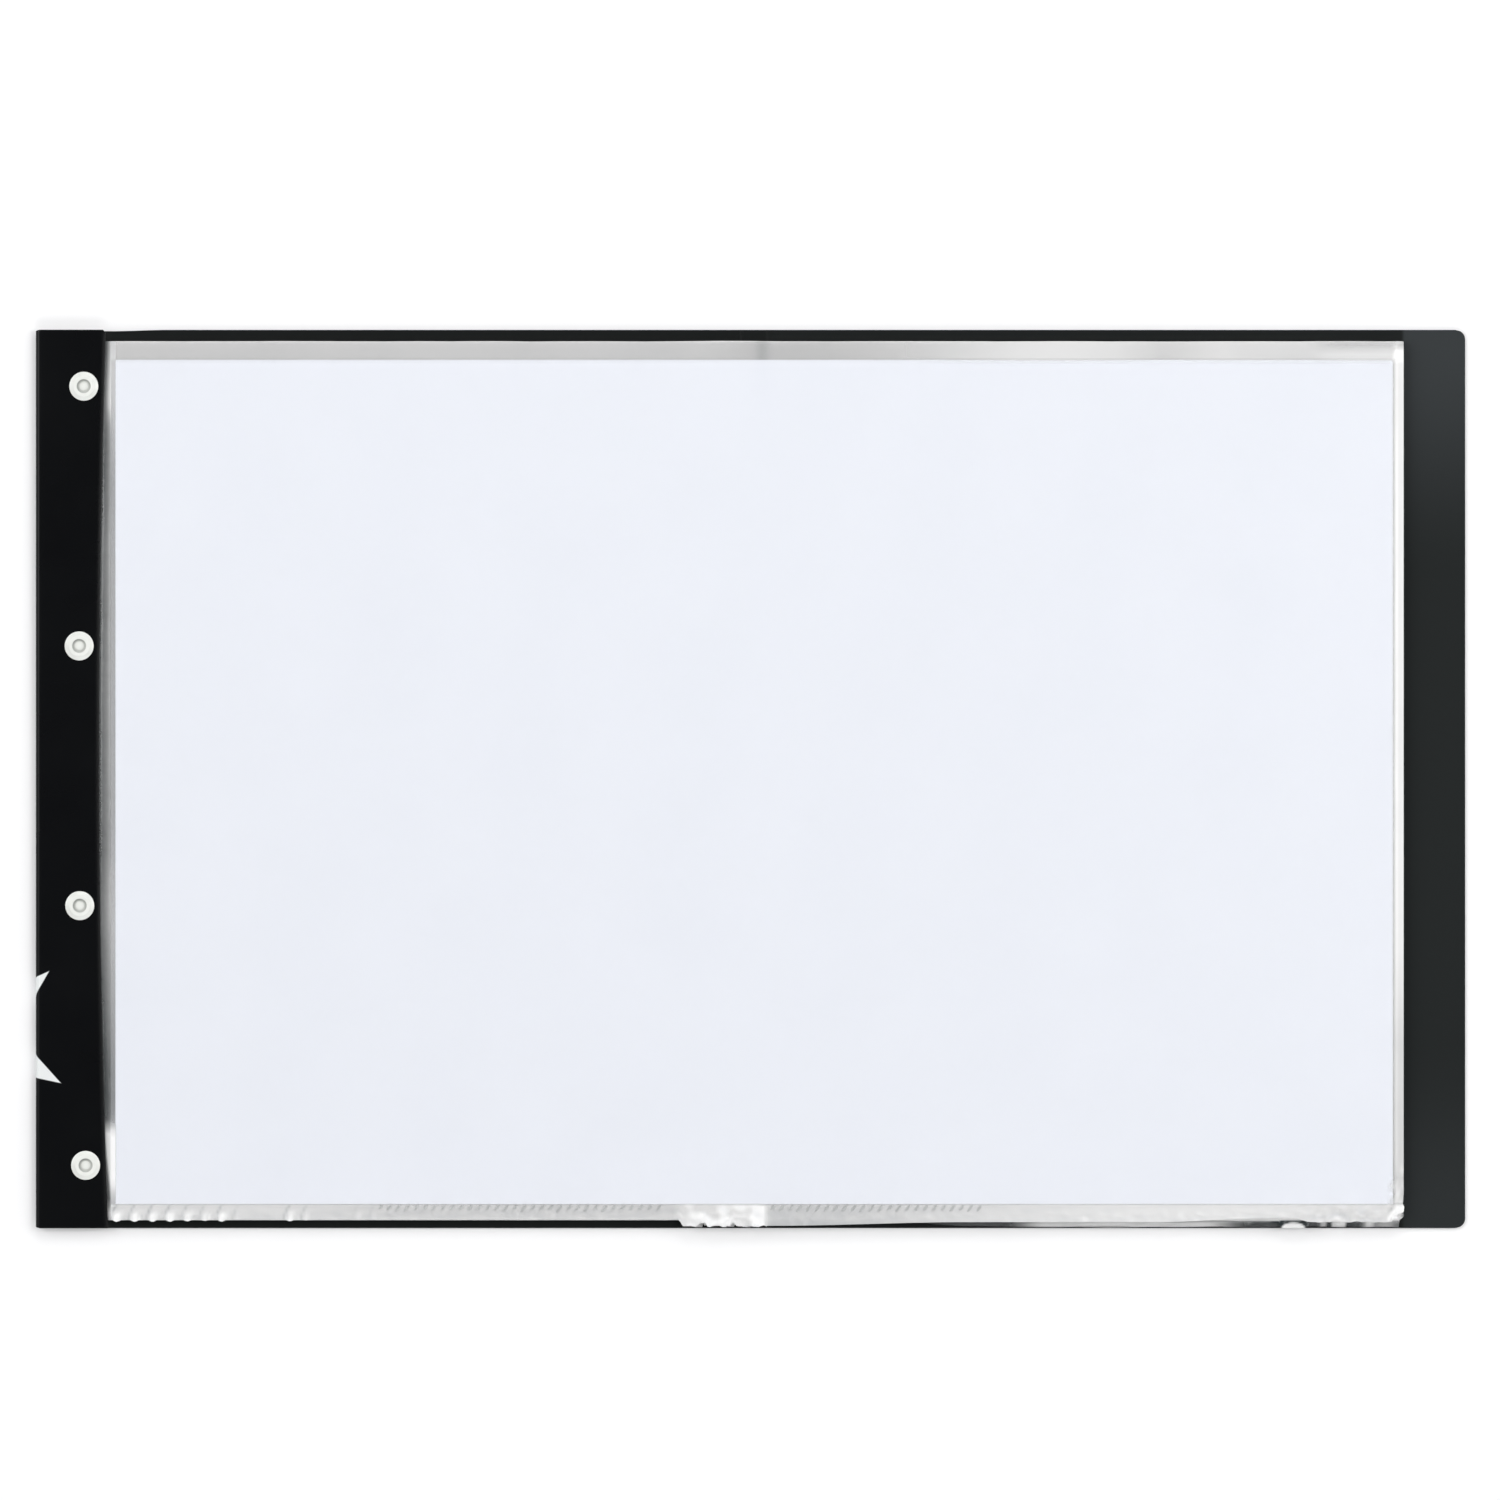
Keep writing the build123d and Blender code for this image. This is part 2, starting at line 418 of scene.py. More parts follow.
# %% [markdown]
# ## The cover's finish
# Covers like this are black polypropylene: dark and satin outside, a little greyer and
# flatter inside, with a very fine grain. A plain star is printed on the outside in pale
# ink. It is a formula in the sheet's own map, which runs round the turned-in edge, so the
# print runs round it too.

# %% Cover material
STAR_RADIUS = 33 * MM
STAR_FROM_EDGE = 21.3 * MM     # the star's middle, past the start of the turned edge
STAR_HEIGHT = -88.4 * MM       # and along the edge, from the middle of the book
STAR_TURN = math.radians(66)   # direction of one tip in the sheet's map
INK_EDGE = 0.15 * MM

# places across the book, and heights up it, between which light is painted on the inside: painted
# shade beside the pockets, deepest on the bound side, lighter on the free side and past the
# pockets, and a painted sheen towards the top and bottom of the bare strip
FREE_SIDE = (0.0, 12 * MM)
PAST_POCKETS = (224.4 * MM, 226 * MM)
PAINTED_SHEEN_HIGH = (70 * MM, 150 * MM)
PAINTED_SHEEN_LOW = (-90 * MM, -150 * MM)


def star_mask(finish, along, across):
    """1 inside a five-pointed star, from places in metres on the sheet's map."""
    dx = along - STAR_FROM_EDGE
    dy = across - STAR_HEIGHT
    distance = finish.math("SQRT", dx * dx + dy * dy)
    angle = finish.math("ARCTAN2", dy, dx) + (2 * math.tau - STAR_TURN + math.pi / 5)
    turned = finish.math("MODULO", angle, math.tau / 5) - math.pi / 5
    from_tip = finish.math("ABSOLUTE", turned)
    x = distance * finish.math("COSINE", from_tip)
    y = distance * finish.math("SINE", from_tip)
    slope = math.radians(18)
    outside = (x - STAR_RADIUS) * math.sin(slope) + y * math.cos(slope)
    return 1 - finish.ramp(outside, -INK_EDGE, INK_EDGE)


def cover_material():
    finish = Finish("black_polypropylene")
    where = finish.node("TexCoord", out="Object")
    place = finish.node("SeparateXYZ", {}, {"Vector": finish.node("TexCoord", out="UV")})
    across = Signal(finish, place.socket.node.outputs[1])
    inner = finish.attribute("inner_face")
    ink = star_mask(finish, place, across) * (1 - inner)
    handled = finish.noise(where, 60 * MM, detail=4, roughness=0.6)
    grain = finish.noise(where, 0.45 * MM, detail=3)
    beside = finish.node("SeparateXYZ", {}, {"Vector": where})
    up = Signal(finish, beside.socket.node.outputs[1])
    # painted light on the inside: painted shade beside the pockets and on the bound side, lighter
    # past them, and a painted sheen towards the top and bottom of the bare strip
    bare = finish.ramp(beside, *PAST_POCKETS)
    free = finish.ramp(beside, *FREE_SIDE) * (0.4 + 0.6 * bare)
    painted_sheen = finish.ramp(up, *PAINTED_SHEEN_HIGH) + 0.4 * finish.ramp(up, *PAINTED_SHEEN_LOW)
    painted_sheen = bare * painted_sheen
    inside = finish.mix(free, display(2, 7, 6), display(19, 24, 24))
    inside = finish.mix(painted_sheen, inside, display(48, 52, 54))
    plastic = finish.mix(inner, display(5, 6, 8), inside)
    worn = finish.mix(handled * 0.25, plastic, display(20, 21, 23))
    colour = finish.mix(ink, worn, display(226, 229, 229))
    gloss = 0.22 + handled * 0.12 + inner * 0.28 + ink * 0.1
    return finish.surface(
        Base_Color=colour, Roughness=gloss, IOR=1.49, Specular_IOR_Level=0.2,
        Normal=finish.bump(grain, 0.004 * MM, 0.7),
    )


black_cover = cover_material()

# %% [markdown]
# ## The cover
# The real cover is one sheet. It crosses two creases, and each crease is a joint, so it is made
# as two pieces that meet in the middle of the spine: one with the left crease pressed into it and
# one with the right. The first follows a path in section: turned-in strip, edge, underside, step
# over the rivets' rear heads, panel. Half the sheet's thickness to either side of the path gives
# its two faces.

# %% Places in the cover
STRIP_TOP = 24.2 * MM       # width of the turned-in strip at the top edge,
STRIP_MIDDLE = 21.9 * MM    # at mid height
STRIP_BOTTOM = 25.0 * MM    # and at the bottom edge
STRIP_CHAMFER = 1.0 * MM
CORNER_RADIUS = 3.4 * MM
EDGE_ROUND = 0.14 * MM
EDGE_DRAW = 0.35 * MM       # the bent edge is drawn in a little at its two ends,
PANEL_DRAW = 0.45 * MM      # and so is the panel where it steps down beside the strip

left_low, left_high = span("cover_left_panel")
spine_low, spine_high = span("cover_spine_panel")
right_low, right_high = span("cover_right_panel")
sheet_t = right_high[2]
half_t = sheet_t / 2
half_height = left_high[1]
strip_face = left_high[2]
panel_lift = sheet_t
bend_outer = (strip_face - panel_lift) / 2
bend_x = left_low[0] + bend_outer
bend_z = panel_lift + bend_outer
left_crease = (left_high[0] + spine_low[0]) / 2
right_crease = (spine_high[0] + right_low[0]) / 2
mid_spine = (left_crease + right_crease) / 2
head_edge = max(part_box(f"rivet_stud_{i}")[1].x for i in range(1, 5))
step_top = head_edge + 0.4 * MM
step_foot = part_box("sheet_left_half")[0].x - 0.45 * MM
print("creases", round(left_crease / MM, 2), round(right_crease / MM, 2), "mm")


def strip_edge(y):
    """X of the strip's free edge, which is slightly bowed and clipped at the top."""
    u = y / half_height
    tilt = (STRIP_TOP - STRIP_BOTTOM) / 2
    bow = (STRIP_TOP + STRIP_BOTTOM) / 2 - STRIP_MIDDLE
    clipped = np.maximum(0, y - (half_height - STRIP_CHAMFER))
    return left_low[0] + STRIP_MIDDLE + tilt * u + bow * u * u - clipped


def crease_dip(x, crease):
    """How far a pressed crease pinches the sheet from each face."""
    return 0.16 * MM * hump(x, crease, 0.45 * MM)


cover_rows = joined(
    steps(-half_height, -half_height + 4 * MM, 0.5 * MM),
    steps(-half_height, half_height, 4 * MM),
    steps(half_height - 4 * MM, half_height, 0.5 * MM),
)

# %% Bound side of the cover
strip_cols = np.linspace(0, 1, 12)
turn_cols = np.linspace(0, math.pi, 19)[1:]
panel_cols = spaced(
    bend_x, (step_top, 2.5), (step_foot, 0.5), (left_crease - 2 * MM, 6),
    (left_crease + 2 * MM, 0.2), (mid_spine, 1),
)[1:]
low_z = half_t + panel_lift * (1 - smooth_step(panel_cols, step_top, step_foot))
dip = crease_dip(panel_cols, left_crease)

inner_face = []
outer_face = []
bound_map = []
for y in cover_rows:
    strip_x = strip_edge(y) + (bend_x - strip_edge(y)) * strip_cols
    turn = math.pi / 2 + turn_cols
    beside_strip = smooth_step(panel_cols, bend_x, step_top)
    beside_strip = beside_strip * (1 - smooth_step(panel_cols, step_foot, step_foot + 18 * MM))
    drawn_in = np.concatenate(
        [strip_x * 0, EDGE_DRAW * np.sin(turn_cols), PANEL_DRAW * beside_strip * (y > 0)]
    )
    across = y * (1 - drawn_in / half_height * (abs(y) / half_height) ** 40)
    inner_r = bend_outer - sheet_t
    inner_x = np.concatenate([strip_x, bend_x + inner_r * np.cos(turn), panel_cols])
    outer_x = np.concatenate([strip_x, bend_x + bend_outer * np.cos(turn), panel_cols])
    inner_z = np.concatenate(
        [strip_x * 0 + strip_face - sheet_t, bend_z + inner_r * np.sin(turn),
         low_z + half_t - dip]
    )
    outer_z = np.concatenate(
        [strip_x * 0 + strip_face, bend_z + bend_outer * np.sin(turn), low_z - half_t + dip]
    )
    run = np.concatenate(
        [bend_x - strip_x, bend_outer * turn_cols, bend_outer * math.pi + panel_cols - bend_x]
    )
    inner_face.append(np.stack([inner_x, across, inner_z], axis=-1))
    outer_face.append(np.stack([outer_x, across, outer_z], axis=-1))
    bound_map.append(np.stack([run, across], axis=-1))


def round_rim(piece, seam_x):
    """Takes the sharpness off a cut edge, except along the seam inside the spine."""
    shape = bmesh.new()
    shape.from_mesh(piece.data)
    sharp = []
    for edge in shape.edges:
        at_seam = all(abs(point.co.x - seam_x) < 1e-6 for point in edge.verts)
        if not at_seam and edge.calc_face_angle(0) > math.radians(60):
            sharp.append(edge)
    bmesh.ops.bevel(
        shape, geom=sharp, offset=EDGE_ROUND, segments=2, affect="EDGES", profile=0.5
    )
    shape.to_mesh(piece.data)
    shape.free()
    piece.data.shade_smooth()
    piece.data.set_sharp_from_angle(angle=math.radians(50))


cover_bound = closed_sheet(
    "cover_bound_side", np.array(inner_face), np.array(outer_face), np.array(bound_map)
)
face_size = np.array(inner_face).shape[:2]
add_attribute(cover_bound, "inner_face", np.ones(face_size), np.zeros(face_size))
round_rim(cover_bound, mid_spine)
dress(cover_bound, black_cover)
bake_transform(cover_bound)

# %% Free side of the cover
free_cols = spaced(
    mid_spine, (right_crease - 2 * MM, 1), (right_crease + 2 * MM, 0.2),
    (right_high[0] - 6 * MM, 6), (right_high[0], 0.75),
)
corner_y = np.maximum(0, np.abs(cover_rows) - (half_height - CORNER_RADIUS))
corner_x = CORNER_RADIUS - np.sqrt(CORNER_RADIUS**2 - np.minimum(corner_y, CORNER_RADIUS) ** 2)
near_edge = np.clip((free_cols - (right_high[0] - 8 * MM)) / (8 * MM), 0, 1)
free_x = free_cols[None, :] - near_edge[None, :] * corner_x[:, None]
free_y = np.broadcast_to(cover_rows[:, None], free_x.shape)
free_dip = crease_dip(free_x, right_crease)
free_run = bend_outer * math.pi + free_x - bend_x
cover_free = level_sheet(
    "cover_free_side", free_x, free_y, sheet_t - free_dip, free_dip,
    np.stack([free_run, free_y], axis=-1),
)
add_attribute(cover_free, "inner_face", np.ones(free_x.shape), np.zeros(free_x.shape))
round_rim(cover_free, mid_spine)
dress(cover_free, black_cover)
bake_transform(cover_free)
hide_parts("cover_left_panel")
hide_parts("cover_spine_panel", "cover_right_panel")

# %% [markdown]
# ## Clear film
# A pocket is two films of clear polypropylene, welded at the sides and the bottom. A single film
# is nearly invisible: what shows is its gloss, and the white of its crushed edges. So the film is
# mostly transparent, and more solid at a glancing angle, as clear plastic is. Three attributes
# vary it over a piece. Milk makes it more solid and whiter, partly from being crushed and partly
# as painted light; crush makes it uneven; and sheen is painted light, the brightness of film
# lying in a pile, which reflects from every layer at once and reads as milky grey, painted
# brighter where it leans to the light and darker in its shade.

# %% Film materials


def film_material(name, thin, milky, dull, bright):
    """Clear film, from a thin alpha to a milky one, between a dull and a bright tone."""
    finish = Finish(name)
    where = finish.node("TexCoord", out="Object")
    crush = finish.attribute("crush")
    milk_and_painted_light = finish.attribute("milk_and_painted_light")
    sheen = finish.attribute("sheen")
    cloud = finish.noise(where, 22 * MM, detail=2)
    fleck = finish.noise(where, 2.6 * MM, detail=2, roughness=0.6)
    grain = finish.noise(where, 0.35 * MM, detail=0)
    # the sheen attribute is painted light: it sets the film's tone between dull and bright
    lit = finish.clamp(sheen + (cloud - 0.5) * 0.12 + (fleck - 0.5) * 0.7 * crush)
    tone = finish.mix(lit, dull, bright)
    rim = finish.node("Fresnel", {}, {"IOR": 1.5})
    cover = thin + milk_and_painted_light * (milky - thin) + rim * 0.35
    uneven = cloud * 0.3 + fleck * crush * 0.35 + grain * 0.004
    return finish.surface(
        Base_Color=tone, Roughness=0.10 + cloud * 0.12, IOR=1.6,
        Alpha=finish.clamp(cover), Normal=finish.bump(uneven, 1 * MM),
    )


top_film = film_material(
    "clear_film_top", 0.07, 0.9, display(226, 229, 233), display(255, 255, 255)
)
pile_film = film_material(
    "clear_film_pile", 0.66, 0.9, display(50, 58, 60), display(252, 252, 252)
)

# %% [markdown]
# ## How the film lies
# The pockets were folded in half with the book, so they are crushed at the fold and along
# the loose skirt below the bottom weld, where the film buckles into small arches. All
# pockets share the same large wrinkles, since each lies on the next, and differ a little
# in the small ones. These functions say how far the film rises, how crushed it is and how
# much it shines, anywhere on the pile.

# %% Wrinkle functions
pile_low, pile_high = span("pocket_02_left", "pocket_02_right")
pocket_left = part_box("pocket_01_left")[0].x
pocket_right = pile_high[0]
pocket_top = pile_high[1]
pocket_bottom = pile_low[1]
sheet_low, sheet_high = span("sheet_left_half", "sheet_right_half")
weld_top = sheet_low[1] - 0.25 * MM
climb_end = pocket_left + 1.3 * MM
fold_x = next(j["pos_m"][0] for j in frame["joints"] if j["name"] == "pile_fold")
SKIRT = weld_top - pocket_bottom

RIGHT_CRUMPLE = 207        # in millimetres to the right, where the bottom edge is crumpled

# painted light and shade on the film beside the strip, by height in millimetres up the page
SIDE_PAINTED_LIGHT = {
    -147: 0.5, -142: 0.8, -136: 1.0, -123: 1.0, -116: 0.42, -110: 0.32,
    -100: 0.34, -76: 0.57, -60: 0.63, -42: 0.76, -26: 0.5, 0: 0.5,
    62: 0.56, 110: 0.52, 120: 0.68, 128: 0.92, 134: 0.88, 150: 0.74,
}


def skirt_share(y):
    """0 above the bottom weld, 1 at the loose edge of the skirt."""
    return np.clip((weld_top - y) / SKIRT, 0, 1.6)


def climb_start(y):
    """X where a film, clear of the strip's edge, starts to climb to its place in the pile."""
    return strip_edge(y) + 0.25 * MM


def arch_turn(x, y):
    """From -pi to pi across every small arch along the skirt; the arches lean as they drop."""
    leaning = 1.9 * (1 - np.clip(skirt_share(y), 0, 1)) ** 2
    turn = x * math.tau / (5.9 * MM) + 1.3 * ripple(x, 70, 3) - leaning
    return np.mod(turn + math.pi, math.tau) - math.pi


def arch_strength(x):
    """The arches are strongest near the bound edge, and come and go further along."""
    bound = rising(-x, 172, 204)
    stray = smooth_step(ripple(x, 24, 33), 0.1, 0.9) * rising(-x, 60, 150)
    return np.clip(bound + 0.75 * stray, 0, 1)


def blob_at(x, y):
    """The tip of each arch, at the loose edge; the film's attributes make it white, partly as
    crushed film and partly as a painted highlight.
    """
    tip = smooth_step(skirt_share(y), 0.25, 0.75)
    return arch_strength(x) * tip * hump(arch_turn(x, y), 0, 1.25)


def furrow_shade_at(x, y):
    """The painted shade along the back of each arch."""
    return arch_strength(x) * hump(arch_turn(x, y), -2.0, 0.55)


def left_side(x, y):
    """1 on the film that climbs beside the strip, above the bottom weld."""
    beside = smooth_step(-x, -sheet_low[0] - 0.3 * MM, -sheet_low[0] + 0.1 * MM)
    return beside * (1 - smooth_step(skirt_share(y), 0.0, 0.15))


def left_glow(x, y):
    """The low end of that film, where a narrow lens of it leans to the light: a painted
    highlight.
    """
    down = rising(-y, 118, 122.5) * (1 - 0.7 * rising(-y, 138, 146))
    rim = climb_start(y) + 1.1 * MM * rising(-y, 124, 144)
    return down * smooth_step(x, rim - 0.6 * MM, rim + 0.2 * MM)


def left_painted_light(x, y):
    """Painted light on that film: painted shade where it comes out from under the strip, in the
    strip's shadow, and lighter where it has climbed.
    """
    places = np.array(list(SIDE_PAINTED_LIGHT)) * MM
    reach = 5.2 * MM - 3.4 * MM * rising(y, 118, 132)
    climbed = smooth_step(x, climb_start(y), climb_start(y) + reach)
    tone = np.interp(y, places, list(SIDE_PAINTED_LIGHT.values())) * (0.3 + 0.7 * climbed)
    glow = left_glow(x, y)
    return tone * (1 - glow) + glow


def crush_at(x, y):
    """How crushed the film is, from 0 to 1."""
    skirt = smooth_step(skirt_share(y), 0.0, 0.5)
    middle = around(x, -10, 13)
    right_end = around(x, RIGHT_CRUMPLE, 15)
    spots = 0.5 + 0.5 * waves(x, y * 2, 8, 71)
    along = 0.2 + 0.3 * arch_strength(x) + 0.7 * middle + 0.6 * right_end
    corner = rising(x, 221, 223) * rising(-y, 135, 142)
    return np.clip(skirt * along * (0.6 + 0.6 * spots) + 0.5 * corner, 0, 1)


def skirt_milk_and_painted_light(x, y):
    """The skirt is whiter at its arches' tips and at the fold, partly crushed white and partly
    painted highlight, with painted shade in the furrows, and paler in the right half as painted
    light.
    """
    spots = np.clip(0.5 + 0.8 * waves(x, y * 1.6, 6.5, 71), 0, 1)
    middle = rising(x, -27, -22) * falling(x, 4.5, 6)
    milk_and_painted_light = 0.34 + 0.66 * blob_at(x, y) - 0.26 * furrow_shade_at(x, y)
    milk_and_painted_light = milk_and_painted_light + 0.64 * middle * (0.35 + 0.65 * spots)
    milk_and_painted_light = milk_and_painted_light + 0.38 * rising(x, 20, 130) - 0.3 * around(x, RIGHT_CRUMPLE, 15) * (1 - spots)
    milk_and_painted_light = milk_and_painted_light + 0.2 * rising(-x, 110, 170)
    return rising(weld_top - y, -0.45, 0.3) * milk_and_painted_light


def top_edge_painted_light(x, y):
    """Painted light on the open top edge: it leans to the light right of the middle, and away at
    its corner.
    """
    lean = 0.17 - 0.1 * rising(x, -20, 2)
    lean = lean + 0.62 * around(x, 104, 42) + 0.38 * rising(x, 140, 165)
    corner = rising(x, 190, 205)
    lean = lean * (1 + corner * (0.5 - 1.3 * rising(y, 146, 150.5)))
    return rising(y, 143.5, 145.5) * lean


def right_side_painted_light(x, y):
    """Painted light on the side weld: it is painted white, less so at its top and low down, where
    it is crumpled.
    """
    side = rising(x, 221.6, 222.4) * (1 - 0.8 * rising(y, 145, 150))
    side = side * (0.55 + 0.3 * rising(y, -95, -60))
    low_end = rising(-y, 130, 138)
    return side + low_end * rising(x, 219.5, 221) * 0.35 * waves(x, y, 4, 77)


def milk_and_painted_light_at(x, y):
    """How white and solid the film is: partly from being crushed, partly painted light where it
    leans to the light, with a painted highlight down the crease at the fold.
    """
    # a painted highlight down the crease at the fold, in the skirt
    crease = around(x, 3.1, 1.7) * smooth_step(skirt_share(y), 0.01, 0.06)
    milk_and_painted_light = skirt_milk_and_painted_light(x, y) + crease + top_edge_painted_light(x, y) + right_side_painted_light(x, y)
    # painted light on the film beside the strip
    bound = left_side(x, y) * np.maximum(left_glow(x, y), 0.5 * left_painted_light(x, y) ** 2)
    return np.clip(milk_and_painted_light + bound, 0, 1)


def rise_at(x, y, seed, amount=1.0):
    """How far the film stands up from its flat place."""
    skirt = smooth_step(skirt_share(y), 0.1, 0.75)
    arch = 0.5 + 0.5 * np.cos(arch_turn(x, y))
    arches = arch * (0.08 + 0.45 * arch_strength(x) + 0.3 * around(x, 205, 18))
    lumps = 1 - np.abs(waves(x, y * 1.6, 7, 11))
    crumple = np.clip(lumps, 0, 1) * (0.12 + 0.75 * around(x, -9, 13))
    small = 0.06 * (waves(x, y, 3.4, seed) + 1)
    return amount * MM * skirt * (arches + crumple + small)


# %% [markdown]
# ## The pockets under the top one
# Each is one closed piece that takes in the punched margin under the strip, the weld bending down
# to the pile, both films with the air between them, and the skirt. It crosses the fold line of
# the pile, where its columns lie close together. The pockets' free edges are not quite in line,
# since every pocket bends round the ones inside it.

# %% Lower pockets
FAN_REACH = 2.4 * MM       # how far the lowest skirts hang below the top one
SIDE_FAN = 0.4 * MM        # and how far they stand out at the free side
THUMB_X = 187.2 * MM       # a pale half-round patch where the lower films gape
THUMB_REACH = 4.1 * MM
THUMB_RISE = 2.0 * MM
BEND_ZONE = 1.3 * MM       # half the width that bends at the fold line
FOLD_EASE = 0.05 * MM      # the underside is eased there, to clear the cover when folded
FILM_PAIR = 0.12 * MM      # two films pressed together

fold_start = fold_x - 2 * MM
fold_end = fold_x + 2 * MM


def pile_rows(skirt_step, middle_step):
    """Heights for the points of a pocket: close in the skirt, wide in the middle."""
    return spaced(
        pocket_bottom, (weld_top + 1 * MM, skirt_step), (pocket_top - 8 * MM, middle_step),
        (pocket_top, 1.6),
    )


def folded_middle(x):
    """1 on the short stretch that the book's fold has crumpled."""
    return rising(x, -24.6, -23.4) * falling(x, 5.4, 6.2)


def bottom_fan(x, number):
    """How far a pocket's skirt hangs below the frame's plain edge."""
    rank = math.sqrt((number - 1) / 9)
    right = rising(x, 30, 90)
    hang = rank * FAN_REACH * right + 0.2 * MM * ripple(x, 30, number) * right
    torn = smooth_step(ripple(x, 5, 50 + number), 0.2, 0.5)
    hang = hang + 2.5 * MM * folded_middle(x) * torn * (0.5 + 0.5 * rank)
    if number == 2:
        beside = np.abs(x - THUMB_X) - THUMB_REACH
        hang = np.maximum(hang, 2.7 * MM * falling(beside, 0.3, 0.9))
    return hang


def right_weld(x):
    """1 on the weld along the free side, where the two films are one."""
    return smooth_step(x, pocket_right - 3.2 * MM, pocket_right - 2.4 * MM)


def near_side(x):
    """From 0 to 1 over the last few millimetres before the free side edge."""
    return smooth_step(x, pocket_right - 6 * MM, pocket_right)


def ragged_side(y, seed):
    """How far the free side edge wanders in and out near its crumpled low end."""
    low = rising(-y, 136, 143)
    torn_off = rising(-y, 149.6, 150.6)
    return 0.22 * MM * low * (ripple(y, 3, seed) - 0.6) - 1.8 * MM * torn_off


def sheen_at(x, y, seed):
    """How brightly the pile shines, as painted light: it leans to the light right of the fold,
    with painted highlights on the arches' tips and the crumples, painted shade in the furrows and
    the crease, and the free side painted bright.
    """
    skirt = skirt_share(y)
    below = smooth_step(skirt, 0.0, 0.15)
    spots = waves(x, y * 2, 6.5, 71)
    border = 0.97 + 0.05 * waves(x, y, 40, seed)
    skirt_tone = 0.88 + 0.06 * rising(x, 60, 110) + 0.08 * arch_strength(x)
    skirt_tone = skirt_tone + 0.2 * blob_at(x, y) - 0.36 * furrow_shade_at(x, y) + 0.1 * spots
    skirt_tone = skirt_tone + 0.2 * around(x, -12, 13) * (1 + 1.4 * spots)
    skirt_tone = skirt_tone + 0.25 * around(x, RIGHT_CRUMPLE, 15) * spots
    shaded = rising(x, 5.5, 6.5) * falling(x, 12, 60)
    skirt_tone = skirt_tone - shaded * (0.12 + 0.3 * smooth_step(skirt, 0.7, 1.0))
    tone = border * (1 - below) + skirt_tone * below
    # painted shade in the crease near the top edge
    tone = tone - 0.3 * around(x, 4, 2.4) * rising(y, 138, 142)
    side = left_side(x, y)
    right_side = rising(x, 219, 222)
    return np.clip(tone * (1 - side) + left_painted_light(x, y) * side + 0.4 * right_side, 0, 1)


def low_skirt_tone(x, y, number):
    """The skirts that hang below the top one: dark and greenish, with pale patches and flecks
    that are painted highlights.
    """
    pale = rising(x, 88, 102) * falling(x, 156, 172)
    fleck = smooth_step(ripple(x, 7, 90), 0.1, 0.4)
    last = smooth_step(-y, half_height - 0.5 * MM, half_height - 0.1 * MM)
    first = 1 - smooth_step(-y, half_height - 2.3 * MM, half_height - 1.9 * MM)
    tone = 0.12 + 0.8 * pale * (1 - 0.8 * last) * (1 - 0.6 * first)
    tone = tone + 0.9 * fleck * around(x, RIGHT_CRUMPLE, 14) + 0.5 * around(x, 219, 5)
    tone = tone + folded_middle(x) * (0.7 - 0.5 * fleck)
    if number == 2:
        dome = ((x - THUMB_X) / THUMB_REACH) ** 2 + ((y + half_height) / THUMB_RISE) ** 2
        near = falling(np.abs(x - THUMB_X), 6, 9)
        tone = tone * (1 - near) + near * 0.95 * (1 - smooth_step(dome, 0.7, 1.25))
    return np.clip(tone, 0, 1)


def dress_film(piece, material, crush, milk_and_painted_light, sheen):
    """Gives a film its three attributes and its material."""
    add_attribute(piece, "crush", crush, crush)
    add_attribute(piece, "milk_and_painted_light", milk_and_painted_light, milk_and_painted_light)
    add_attribute(piece, "sheen", sheen, sheen)
    dress(piece, material)


